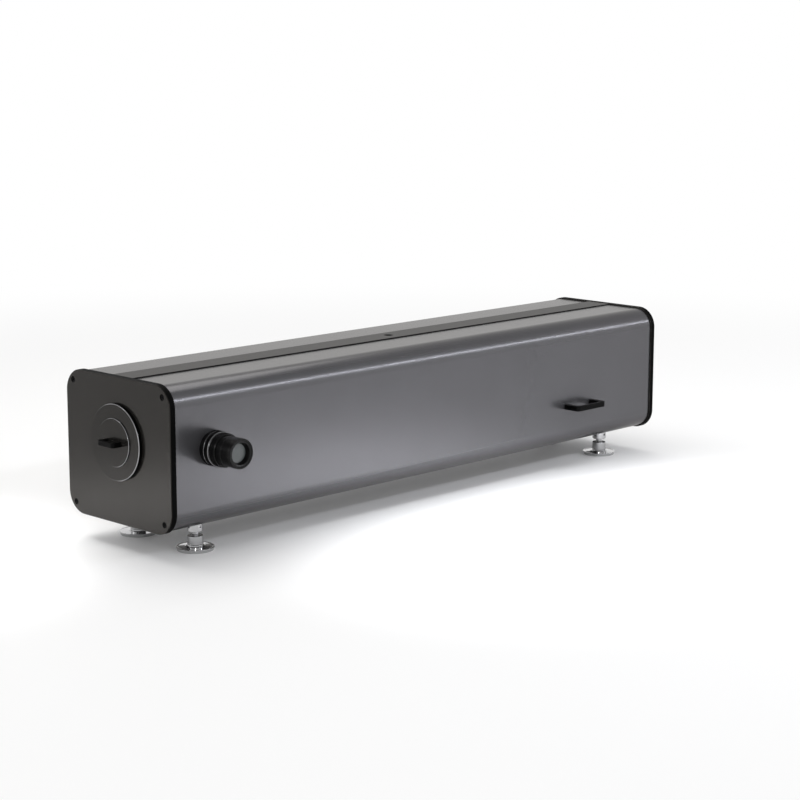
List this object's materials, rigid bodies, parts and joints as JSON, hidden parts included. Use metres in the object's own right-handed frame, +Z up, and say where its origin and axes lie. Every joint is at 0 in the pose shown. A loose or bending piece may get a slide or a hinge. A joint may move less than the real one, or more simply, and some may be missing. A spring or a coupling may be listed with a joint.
{
  "type": "optical collimator",
  "caption": "Off-axis reflective collimator: long rounded rectangular housing with capped aperture, side focusing port with knurled rings, bridge handles and levelling feet.",
  "frame": {"origin": "under the middle of the bounding box, on the surface that the foot pads stand on", "axes": "+X along the tube from the aperture end to the mirror end, -Y towards the focusing port, +Z up"},
  "size_m": [1.662, 0.4834, 0.381],
  "materials": {
    "housing": "satin grey anodised",
    "rail": "dark grey anodised",
    "plate": "black anodised",
    "black": "matt black anodised",
    "steel": "polished",
    "bolt": "black oxide",
    "machined": "machined",
    "mirror": "coated glass",
    "glass": "ground"
  },
  "bodies": {
    "housing": {"port_side_shell": "housing", "far_side_shell": "housing", "top_rail": "rail", "base_plate": "machined", "aperture_plate": "plate", "mirror_end_plate": "plate", "aperture_plate_screw_1": "bolt", "aperture_plate_screw_2": "bolt", "aperture_plate_screw_3": "bolt", "aperture_plate_screw_4": "bolt", "mirror_end_plate_screw_1": "bolt", "mirror_end_plate_screw_2": "bolt", "mirror_end_plate_screw_3": "bolt", "mirror_end_plate_screw_4": "bolt", "aperture_stop_ring": "black", "port_side_handle": "black", "far_side_handle": "black", "port_flange": "black", "port_ring_nut": "black", "lock_nut_port_front": "steel", "lock_nut_far_front": "steel", "lock_nut_port_rear": "steel", "lock_nut_far_rear": "steel", "parabolic_mirror": "mirror", "mirror_cell": "black", "mirror_clip_1": "machined", "mirror_clip_2": "machined", "mirror_clip_3": "machined", "mirror_stand": "black", "tilt_screw_1": "machined", "tilt_screw_2": "machined", "tilt_screw_3": "machined", "mirror_draw_bolt": "bolt", "fold_mirror": "mirror", "fold_mirror_cell": "black", "fold_mirror_arm": "black", "baffle_1": "black", "baffle_2": "black", "baffle_3": "black"},
    "aperture_cap": {"aperture_cap": "plate", "cap_handle": "black"},
    "focus_ring": {"focus_ring": "black"},
    "clamp_ring": {"clamp_ring": "black"},
    "draw_tube": {"draw_tube": "black", "reticle": "glass", "reticle_ring": "black"},
    "pad_port_front": {"foot_pad_port_front": "steel"},
    "pad_far_front": {"foot_pad_far_front": "steel"},
    "pad_port_rear": {"foot_pad_port_rear": "steel"},
    "pad_far_rear": {"foot_pad_far_rear": "steel"},
    "screw_port_front": {"foot_screw_port_front": "steel"},
    "screw_far_front": {"foot_screw_far_front": "steel"},
    "screw_port_rear": {"foot_screw_port_rear": "steel"},
    "screw_far_rear": {"foot_screw_far_rear": "steel"}
  },
  "joints": [
    {"name": "cap_pull", "type": "slide", "parent": "housing", "child": "aperture_cap", "axis": [-1, 0, 0], "range_m": [0, 0.06]},
    {"name": "focus_turn", "type": "hinge", "parent": "housing", "child": "focus_ring", "pos_m": [-0.68005, -0.1497, 0.237], "axis": [0, 1, 0], "range_deg": [-150, 150]},
    {"name": "draw_slide", "type": "slide", "parent": "housing", "child": "draw_tube", "axis": [0, 1, 0], "range_m": [-0.005, 0.005]},
    {"name": "clamp_turn", "type": "hinge", "parent": "housing", "child": "clamp_ring", "pos_m": [-0.68005, -0.1497, 0.237], "axis": [0, 1, 0], "range_deg": [0, 60]},
    {"name": "lift_port_front", "type": "slide", "parent": "housing", "child": "pad_port_front", "axis": [0, 0, 1], "range_m": [-0.006, 0.006]},
    {"name": "lift_far_front", "type": "slide", "parent": "housing", "child": "pad_far_front", "axis": [0, 0, 1], "range_m": [-0.006, 0.006]},
    {"name": "lift_port_rear", "type": "slide", "parent": "housing", "child": "pad_port_rear", "axis": [0, 0, 1], "range_m": [-0.006, 0.006]},
    {"name": "lift_far_rear", "type": "slide", "parent": "housing", "child": "pad_far_rear", "axis": [0, 0, 1], "range_m": [-0.006, 0.006]},
    {"name": "turn_port_front", "type": "hinge", "parent": "pad_port_front", "child": "screw_port_front", "pos_m": [-0.67005, -0.075, 0.02], "axis": [0, 0, 1], "range_deg": [-1080, 1080]},
    {"name": "turn_far_front", "type": "hinge", "parent": "pad_far_front", "child": "screw_far_front", "pos_m": [-0.67005, 0.121, 0.02], "axis": [0, 0, 1], "range_deg": [-1080, 1080]},
    {"name": "turn_port_rear", "type": "hinge", "parent": "pad_port_rear", "child": "screw_port_rear", "pos_m": [0.70495, -0.075, 0.02], "axis": [0, 0, 1], "range_deg": [-1080, 1080]},
    {"name": "turn_far_rear", "type": "hinge", "parent": "pad_far_rear", "child": "screw_far_rear", "pos_m": [0.70495, 0.121, 0.02], "axis": [0, 0, 1], "range_deg": [-1080, 1080]}
  ],
  "couplings": [
    {"joint": "draw_slide", "follows": "focus_turn", "m_per_rad": 0.0019},
    {"joint": "turn_port_front", "follows": "lift_port_front", "rad_per_m": 3141.6},
    {"joint": "turn_far_front", "follows": "lift_far_front", "rad_per_m": 3141.6},
    {"joint": "turn_port_rear", "follows": "lift_port_rear", "rad_per_m": 3141.6},
    {"joint": "turn_far_rear", "follows": "lift_far_rear", "rad_per_m": 3141.6}
  ]
}
